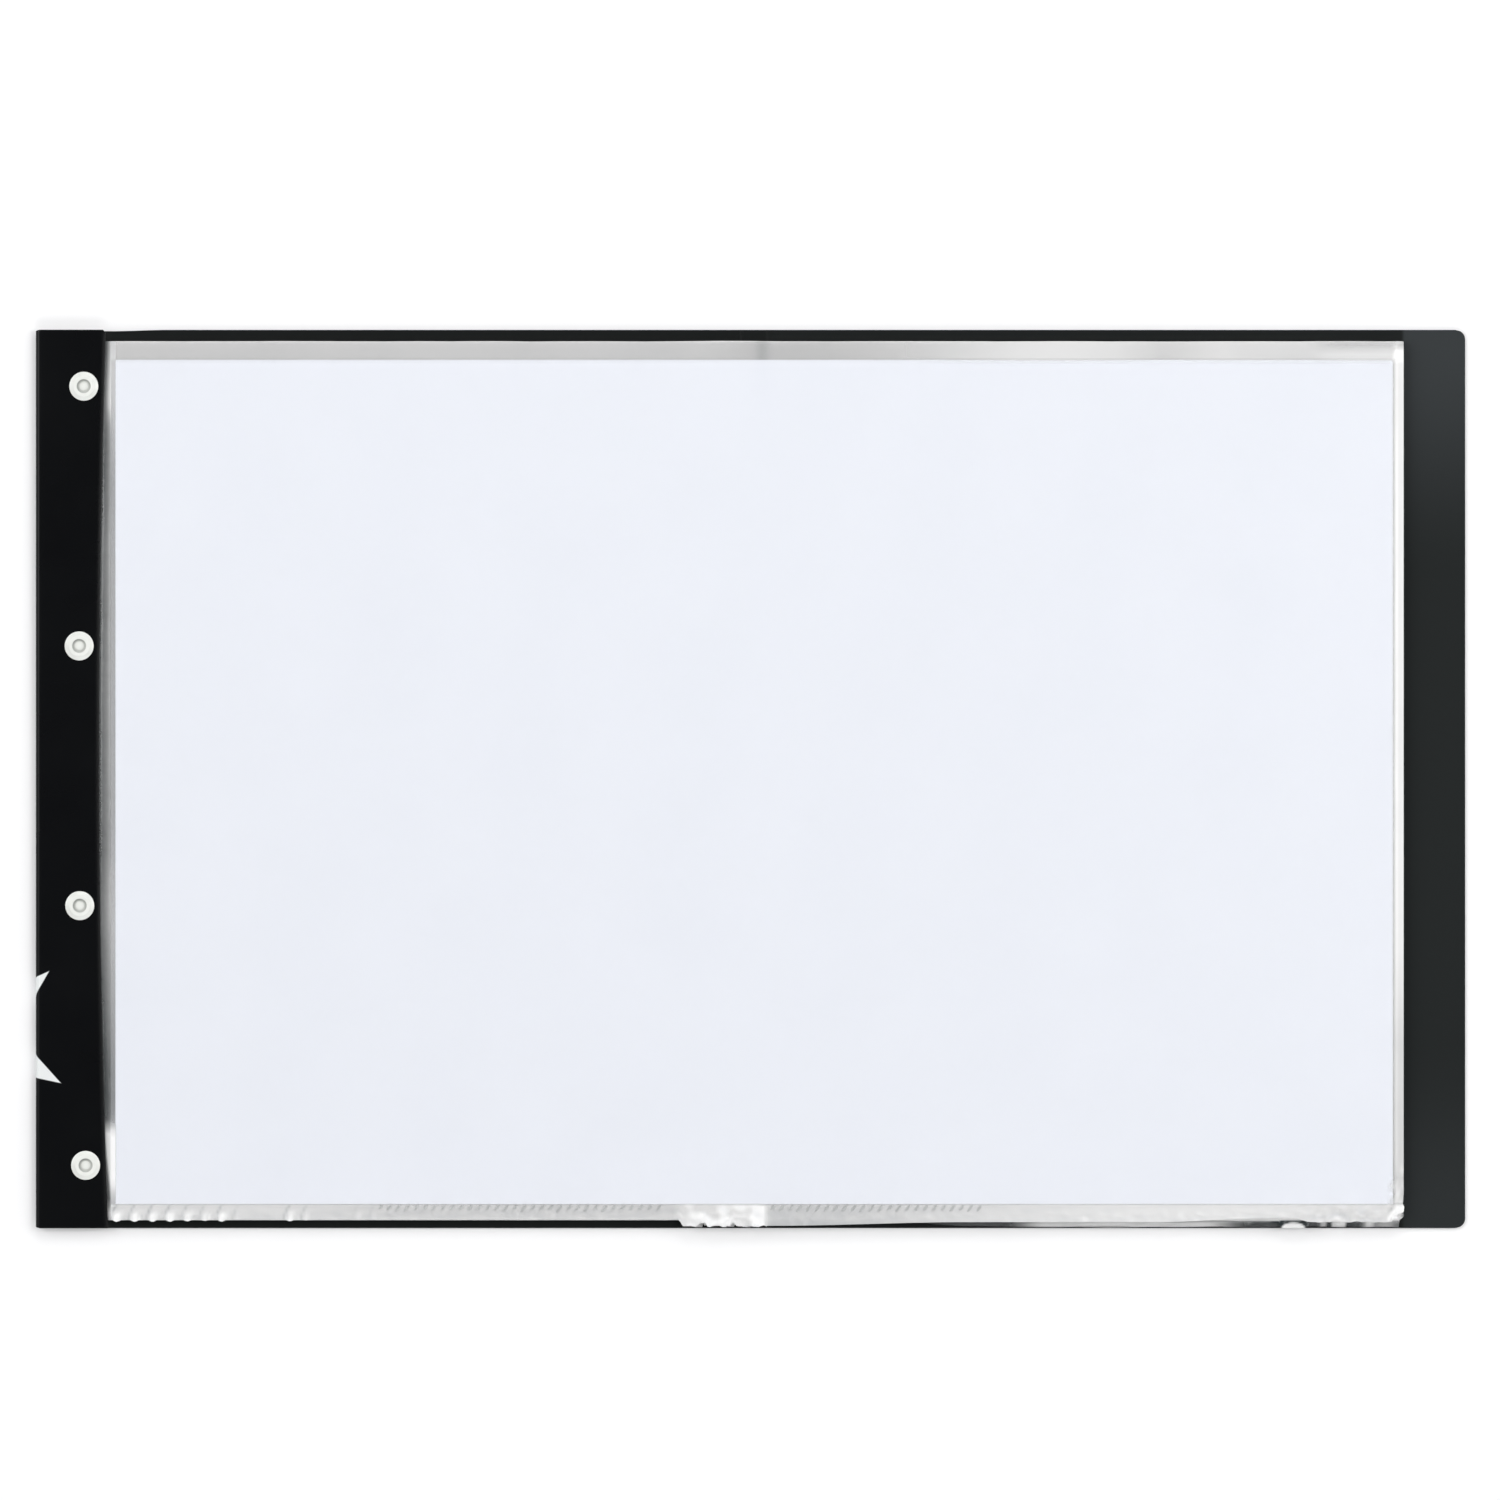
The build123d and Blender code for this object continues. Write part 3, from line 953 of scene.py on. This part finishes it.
for number in range(2, 11):
    pile_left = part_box(f"pocket_{number:02d}_left")[0].x
    right_low_corner, right_high_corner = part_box(f"pocket_{number:02d}_right")
    back_z = right_low_corner.z
    front_z = right_high_corner.z
    clamp_z = strip_face - sheet_t - number * FILM_PAIR
    thumb_step = 0.5 if number == 2 else 1.4
    rows = pile_rows(0.4, 4) if number == 2 else pile_rows(0.55, 22)
    cols = spaced(
        pile_left, (climb_start(0), 4), (climb_end + 0.8 * MM, 0.25), (-26 * MM, 1.4),
        (fold_start, 0.8), (fold_end, 0.25), (THUMB_X - 7 * MM, 1.4),
        (THUMB_X + 7 * MM, thumb_step), (pocket_right, 1),
    )
    x, y = np.meshgrid(cols, rows)
    bend = smooth_step(x, climb_start(y), climb_end)
    bottom_weld = 1 - smooth_step(y, weld_top - 0.3 * MM, weld_top + 0.8 * MM)
    weld = np.maximum(bottom_weld, right_weld(x))
    welded_z = (back_z + front_z) / 2
    half_pair = FILM_PAIR / 2
    open_low = back_z * (1 - weld) + (welded_z - half_pair) * weld
    open_high = front_z * (1 - weld) + (welded_z + half_pair) * weld
    up = rise_at(x, y, 20 + number, amount=0.55) * bend
    lower_z = clamp_z * (1 - bend) + open_low * bend + up
    lower_z = lower_z + FOLD_EASE * hump(x, fold_x + 3 * MM, 5 * MM)
    upper_z = (clamp_z + FILM_PAIR) * (1 - bend) + open_high * bend + up
    hang = skirt_share(y) * bottom_fan(x, number) * bend
    ragged = 0.15 * MM * ripple(x, 60, 60 + number)
    shifted = y - hang + ragged * (y > 150 * MM)
    fanned = SIDE_FAN * (number - 1) / 9
    x = x + near_side(x) * (fanned + ragged_side(y, 70 + number))
    pocket = level_sheet(f"pocket_{number:02d}", x, shifted, upper_z, lower_z)
    loose = rising(x, 10, 60) + folded_middle(x)
    loose = np.clip(loose, 0, 1) * smooth_step(skirt_share(shifted), 1.0, 1.05)
    low_tone = low_skirt_tone(x, shifted, number)
    sheen = sheen_at(x, y, 80 + number) * (1 - loose) + low_tone * loose
    milk_and_painted_light = milk_and_painted_light_at(x, y) * (1 - loose) + 0.9 * np.maximum(low_tone - 0.2, 0) * loose
    # painted shade along the pockets' free edge
    edge = smooth_step(x, pocket_right - 0.5 * MM, pocket_right)
    dress_film(pocket, pile_film, crush_at(x, y), milk_and_painted_light, sheen * (1 - edge))
    fold_x - BEND_ZONE
    fold_x + BEND_ZONE
    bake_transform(pocket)
    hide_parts(f"pocket_{number:02d}_left", f"pocket_{number:02d}_right")

# %% [markdown]
# ## The top pocket
# It gets its two films as separate closed pieces, since the paper shows between them. Both
# come together at the welds. The punched margin is a third piece, because the pocket turns
# over along its left edge like a page while the margin stays under the strip.

# %% Films of the top pocket
top_low, top_high = span("pocket_01_left", "pocket_01_right")
top_middle_z = (top_low[2] + top_high[2]) / 2
FILM_T = 0.06 * MM

top_rows = spaced(
    pocket_bottom, (weld_top + 1 * MM, 0.35), (weld_top + 37 * MM, 3),
    (pocket_top - 10 * MM, 20), (pocket_top, 1.2),
)
top_cols = spaced(
    pocket_left, (pocket_left + 2 * MM, 0.25), (fold_start, 0.85), (fold_end, 0.25),
    (pocket_right, 0.85),
)
top_x, top_y = np.meshgrid(top_cols, top_rows)


def top_weld(x, y):
    """1 where the two films of the top pocket are one, 0 where they are apart."""
    left = 1 - smooth_step(x, pocket_left + 0.1 * MM, pocket_left + 1.5 * MM)
    bottom = 1 - smooth_step(y, weld_top - 0.3 * MM, weld_top + 0.5 * MM)
    return np.maximum(np.maximum(left, right_weld(x)), bottom)


def top_hang(x):
    """How far the top pocket's crushed skirt reaches below its plain edge."""
    notched = smooth_step(ripple(x, 8, 89), 0.5, 0.7) * falling(x, -1.6, -0.8)
    frayed = 0.25 * ripple(x, 2.4, 6)
    middle = folded_middle(x) * (2.3 + frayed - 1.1 * notched)
    right = 2.1 * rising(x, 5.4, 6.2) * (1 - 0.6 * rising(x, 8, 75))
    right = right - 1.25 * rising(x, 140, 178) * falling(x, 187, 194)
    arches = 0.75 * blob_at(x, x * 0 + pocket_bottom)
    corner = -1.2 * rising(x, 221.5, 223.5)
    corner = corner + 0.3 * around(x, RIGHT_CRUMPLE, 14) * ripple(x, 4, 8)
    return MM * (middle + right + arches + corner - 0.2)


def top_pocket_film(name, flat_z, side):
    """One film: side is +1 for the front film and -1 for the back."""
    x, y = top_x, top_y
    weld = top_weld(x, y)
    centre = flat_z * (1 - weld) + (top_middle_z + side * FILM_T / 2) * weld
    up = rise_at(x, y, 15) * (1.0 if side > 0 else 0.8)
    crease = 0.1 * MM * around(x, 3.5, 1.2) * rising(np.abs(y), 140, 148)
    level = centre + up + crease * side
    shifted = y - np.clip(skirt_share(y), 0, 1) * top_hang(x)
    edged = x + near_side(x) * ragged_side(y, 70)
    film = level_sheet(name, edged, shifted, level + FILM_T / 2, level - FILM_T / 2)
    milk_and_painted_light = milk_and_painted_light_at(x, y) * (1.0 if side > 0 else 0.5)
    dress_film(film, top_film, crush_at(x, y), milk_and_painted_light, sheen_at(x, y, 41))
    fold_x - BEND_ZONE
    fold_x + BEND_ZONE
    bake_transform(film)
    return film


top_front = top_pocket_film("pocket_01_front_film", top_high[2] - FILM_T / 2, 1)
top_pocket_film("pocket_01_back_film", top_low[2] + FILM_T / 2, -1)
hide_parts("pocket_01_left", "pocket_01_right")

# %% Punched margin of the top pocket
margin_low, margin_high = span("pocket_01_margin")
hinge_start = pocket_left - 0.45 * MM
hinge_end = pocket_left + 0.05 * MM
margin_cols = spaced(
    margin_low[0], (climb_start(0), 4), (hinge_start, 0.3), (hinge_end, 0.05),
    (pocket_left + 0.9 * MM, 0.4),
)
x, y = np.meshgrid(margin_cols, steps(pocket_bottom, pocket_top, 2.5 * MM))
climb = smooth_step(x, climb_start(y), pocket_left)
margin_z = (margin_low[2] + margin_high[2]) / 2
pocket_z = top_low[2] - FILM_PAIR / 2
level = margin_z * (1 - climb) + pocket_z * climb
margin = level_sheet(
    "pocket_01_punched_margin", x, y, level + FILM_PAIR / 2, level - FILM_PAIR / 2
)
dress_film(margin, pile_film, x * 0 + 0.1, left_glow(x, y), sheen_at(x, y, 44))
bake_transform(margin)
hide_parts("pocket_01_margin")

# %% [markdown]
# ## The bottom weld
# The welding bar leaves a row of short slanted dashes pressed into the film. They repeat
# at one pitch, so Geometry Nodes make them: a line of points, with one small rounded bar
# at each. The row stops short of the crumpled fold on either side, and each part of it
# rides on its own half of the pocket.

# %% Weld dashes by Geometry Nodes
DASH_PITCH = 3.1 * MM
DASH_LENGTH = 3.3 * MM
DASH_WIDTH = 0.95 * MM
DASH_RISE = 0.07 * MM
DASH_LEAN = math.radians(36)


class NodeTree:
    """A Geometry Nodes tree under construction."""

    def __init__(self, name):
        self.group = bpy.data.node_groups.new(name, "GeometryNodeTree")
        self.group.interface.new_socket(
            "Geometry", in_out="OUTPUT", socket_type="NodeSocketGeometry"
        )
        self.sockets = {}
        self.enter = None

    def size(self, name, kind="NodeSocketFloat"):
        """Declares a named input of the tree."""
        made = self.group.interface.new_socket(name, in_out="INPUT", socket_type=kind)
        self.sockets[name] = made.identifier

    def read(self, name):
        """The output of the group's input node for a named input."""
        if self.enter is None:
            self.enter = self.group.nodes.new("NodeGroupInput")
        return self.enter.outputs[name]

    def node(self, kind, sockets=None, settings=None, out=0):
        return add_node(self.group, kind, settings, sockets).outputs[out]

    def repeat(self, points, instance, **more):
        """Ends the tree: the instance at every point, as one smooth mesh with a finish."""
        sockets = {"Points": points, "Instance": instance} | more
        placed = self.node("GeometryNodeInstanceOnPoints", sockets)
        real = self.node("GeometryNodeRealizeInstances", {"Geometry": placed})
        smooth = self.node("GeometryNodeSetShadeSmooth", {0: real})
        sockets = {"Geometry": smooth, "Material": self.read("Finish")}
        finished = self.node("GeometryNodeSetMaterial", sockets)
        leave = self.group.nodes.new("NodeGroupOutput")
        self.group.links.new(finished, leave.inputs[0])


def plain_mesh(name, tree, values, material):
    """Runs a tree with these values and this finish, and keeps the result as a plain mesh."""
    carrier = add_object(name, bpy.data.meshes.new(name))
    modifier = carrier.modifiers.new("make", "NODES")
    modifier.node_group = tree.group
    for label, value in (values | {"Finish": material}).items():
        modifier[tree.sockets[label]] = value
    bpy.context.view_layer.update()
    ready = carrier.evaluated_get(bpy.context.evaluated_depsgraph_get())
    made = bpy.data.meshes.new_from_object(ready)
    carrier.modifiers.remove(modifier)
    carrier.data = made
    return carrier


dash_tree = NodeTree("weld_dashes")
for label in ("Pitch", "Length", "Width", "Rise", "Lean"):
    dash_tree.size(label)
dash_tree.size("Count", "NodeSocketInt")
dash_tree.size("Start", "NodeSocketVector")
dash_tree.size("Finish", "NodeSocketMaterial")
offset = dash_tree.node("ShaderNodeCombineXYZ", {"X": dash_tree.read("Pitch")})
line = dash_tree.node(
    "GeometryNodeMeshLine",
    {"Count": dash_tree.read("Count"), "Start Location": dash_tree.read("Start"),
     "Offset": offset},
    {"mode": "OFFSET"},
)
bar_size = dash_tree.node(
    "ShaderNodeCombineXYZ",
    {"X": dash_tree.read("Width"), "Y": dash_tree.read("Length"), "Z": dash_tree.read("Rise")},
)
ball = dash_tree.node(
    "GeometryNodeMeshUVSphere", {"Segments": 10, "Rings": 6, "Radius": 0.5}
)
dash = dash_tree.node("GeometryNodeTransform", {"Geometry": ball, "Scale": bar_size})
lean = dash_tree.node("ShaderNodeCombineXYZ", {"Z": dash_tree.read("Lean")})
dash_tree.repeat(line, dash, Rotation=lean)


def dash_material():
    """The film where the hot bar pressed it: fused, and a little duller than the rest."""
    finish = Finish("weld_mark")
    where = finish.node("TexCoord", out="Object")
    cloud = finish.noise(where, 45 * MM, detail=2)
    return finish.surface(
        Base_Color=finish.mix(cloud, display(160, 162, 162), display(192, 194, 194)),
        Roughness=0.2 + cloud * 0.15, IOR=1.5,
        Normal=finish.bump(cloud, 0.1 * MM, 0.5),
    )


weld_mark = dash_material()


def dash_row(name, start_x, end_x, body):
    """A row of dashes between two places, riding on one body."""
    count = int((end_x - start_x) / DASH_PITCH) + 1
    sizes = {
        "Pitch": DASH_PITCH, "Length": DASH_LENGTH, "Width": DASH_WIDTH,
        "Rise": DASH_RISE, "Lean": -DASH_LEAN, "Count": count,
        "Start": (start_x, weld_top - 1.3 * MM, top_middle_z + FILM_T + 0.02 * MM),
    }
    row = plain_mesh(name, dash_tree, sizes, weld_mark)
    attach(row, body)
    print(name, count, "dashes")


dash_row("weld_dashes_left", -128 * MM, -29.5 * MM, "top_pocket_left")
dash_row("weld_dashes_right", 7.5 * MM, 79 * MM, "top_pocket_right")

# %% [markdown]
# ## The paper
# A plain cool white sheet lies in the top pocket. It crosses the same fold line, so it is one
# piece in place of its two halves, with close columns at the fold. Its finish is matt, with the
# slight cloudiness and tooth of uncoated paper.

# %% Paper


def paper_material():
    finish = Finish("white_paper")
    where = finish.node("TexCoord", out="Object")
    cloud = finish.noise(where, 3 * MM, detail=4, roughness=0.6)
    tooth = finish.noise(where, 0.25 * MM, detail=2)
    colour = finish.mix(cloud, display(237, 240, 248), display(240, 243, 250))
    return finish.surface(
        Base_Color=colour, Roughness=0.8 + cloud * 0.1, IOR=1.45,
        Normal=finish.bump(tooth, 0.01 * MM, 0.4),
    )


white_paper = paper_material()
x, y = np.meshgrid(
    spaced(sheet_low[0], (fold_start, 12), (fold_end, 0.25), (sheet_high[0], 12)),
    steps(sheet_low[1], sheet_high[1], 12 * MM),
)
paper = level_sheet("paper_sheet", x, y, x * 0 + sheet_high[2], x * 0 + sheet_low[2])
dress(paper, white_paper)
fold_x - BEND_ZONE
fold_x + BEND_ZONE
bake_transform(paper)
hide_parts("sheet_left_half", "sheet_right_half")

# %% [markdown]
# ## The rivets
# Two-part rivets of off-white plastic clamp the strip, the margins and the panel. The
# front half is a flat button with a soft step and an open ring round the tip of the pin;
# the rear half is a plain button with the pin on it. Each half is a profile turned round
# its axis, and one tree repeats either of them at the four rivets' places.

# %% Rivet profiles
WELL_RADIUS = 2.35 * MM
PIN_RADIUS = 1.5 * MM
CROWN_RADIUS = 3.7 * MM

rivet_boxes = [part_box(f"rivet_socket_{i}") for i in range(1, 5)]
rivet_places = [((low + high) / 2).xy for low, high in rivet_boxes]
head_radius = (rivet_boxes[0][1].x - rivet_boxes[0][0].x) / 2
head_top = rivet_boxes[0][1].z


def turned(profile, segments=48):
    """A closed solid from a profile of (radius, height) that starts and ends on the axis.

    Its grooves are marked with painted shade, stronger on one side, for the finish to darken.
    """
    points = [(0.0, 0.0, profile[0][1])]
    rings = profile[1:-1]
    for radius, height in rings:
        for i in range(segments):
            angle = math.tau * i / segments
            points.append((radius * math.cos(angle), radius * math.sin(angle), height))
    points.append((0.0, 0.0, profile[-1][1]))
    faces = []
    for i in range(segments):
        j = (i + 1) % segments
        faces.append((0, 1 + j, 1 + i))
        for ring in range(len(rings) - 1):
            a = 1 + ring * segments
            b = a + segments
            faces.append((a + i, a + j, b + j, b + i))
        last = 1 + (len(rings) - 1) * segments
        faces.append((last + i, last + j, len(points) - 1))
    mesh = bpy.data.meshes.new("turned")
    mesh.from_pydata(points, [], faces)
    x, y, height = np.array(points).T
    radius = np.hypot(x, y)
    depth = head_top - height
    # painted shade in the ring round the pin, stronger on one side, and a little at the crown's
    # step
    facing = (y - 0.6 * x) / np.maximum(radius, MM)
    well = hump(radius, WELL_RADIUS - 0.25 * MM, 0.4 * MM) * (0.75 + 0.25 * facing)
    well = well + 0.3 * hump(radius, (WELL_RADIUS + PIN_RADIUS) / 2, 0.6 * MM)
    step = 0.2 * hump(radius, CROWN_RADIUS, 0.12 * MM)
    layer = mesh.attributes.new("groove_shade", "FLOAT", "POINT")
    layer.data.foreach_set("value", ((well + step) * (depth > 0.03 * MM)).astype(np.float32))
    return mesh


def corners_at(radius, height, *offsets):
    """Profile points from offsets in millimetres outward and upward."""
    return [(radius + out * MM, height + up * MM) for out, up in offsets]


front_profile = (
    corners_at(0, strip_face, (0, -0.3))
    + corners_at(head_radius, strip_face, (-0.3, -0.3), (-0.15, 0.02), (0, 0.12))
    + corners_at(head_radius, head_top, (0, -0.52), (-0.1, -0.42))
    + corners_at(CROWN_RADIUS, head_top, (0.12, -0.14), (0.03, -0.09), (-0.04, -0.02), (-0.15, 0))
    + corners_at(WELL_RADIUS, head_top, (0.12, 0), (0.03, -0.05), (0, -0.15), (-0.05, -0.55))
    + corners_at(PIN_RADIUS, head_top, (0.02, -0.6), (0, -0.3), (-0.05, -0.2), (-0.2, -0.15))
    + corners_at(0, head_top, (0.5, -0.14), (0, -0.17))
)
rear_profile = (
    corners_at(0, 0, (0, 0))
    + corners_at(head_radius, 0, (-0.25, 0), (-0.07, 0.07), (0, 0.25))
    + corners_at(head_radius, panel_lift, (0, -0.15), (-0.15, 0))
    + corners_at(PIN_RADIUS, panel_lift, (0, 0))
    + corners_at(PIN_RADIUS, strip_face - sheet_t, (0, 0))
    + corners_at(0, strip_face - sheet_t, (0, 0))
)

# %% Rivet material and tree


def rivet_material():
    finish = Finish("off_white_plastic")
    where = finish.node("TexCoord", out="Object")
    cloud = finish.noise(where, 4 * MM, detail=3)
    scuff = finish.noise(where, 0.6 * MM, detail=4, roughness=0.7)
    groove_shade = finish.attribute("groove_shade")
    moulded = finish.mix(cloud, display(224, 226, 221), display(236, 238, 234))
    # painted shade: the grooves darken toward grey
    colour = finish.mix(groove_shade * (0.6 + cloud * 0.4), moulded, display(118, 121, 117))
    return finish.surface(
        Base_Color=colour, Roughness=0.24 + scuff * 0.12, IOR=1.5,
        Normal=finish.bump(scuff, 0.01 * MM, 0.5),
    )


rivet_plastic = rivet_material()
RIVET_INPUTS = ("Top", "Upper", "Lower", "Bottom")
rivet_tree = NodeTree("rivets_at_points")
rivet_tree.size("Half", "NodeSocketObject")
for label in RIVET_INPUTS:
    rivet_tree.size(label, "NodeSocketVector")
rivet_tree.size("Finish", "NodeSocketMaterial")
half = rivet_tree.node(
    "GeometryNodeObjectInfo", {"Object": rivet_tree.read("Half")}, out="Geometry"
)
spots = rivet_tree.group.nodes.new("GeometryNodeJoinGeometry")
for label in RIVET_INPUTS:
    spot = rivet_tree.node("GeometryNodePoints", {"Position": rivet_tree.read(label)})
    rivet_tree.group.links.new(spot, spots.inputs[0])
rivet_tree.repeat(spots.outputs[0], half)


def rivet_halves(name, profile, kind):
    """All four rivets' front or rear halves as one piece on the bound side."""
    pattern = add_object("pattern", turned(profile))
    places = [(place.x, place.y, 0.0) for place in rivet_places]
    values = dict(zip(RIVET_INPUTS, places))
    values["Half"] = pattern
    halves = plain_mesh(name, rivet_tree, values, rivet_plastic)
    bpy.data.objects.remove(pattern)
    halves.data.set_sharp_from_angle(angle=math.radians(40))
    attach(halves, "bound_side")
    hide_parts(*[f"rivet_{kind}_{i}" for i in range(1, 5)])
    print(name, len(halves.data.polygons), "faces")


rivet_halves("rivet_front_halves", front_profile, "socket")
rivet_halves("rivet_rear_halves", rear_profile, "stud")
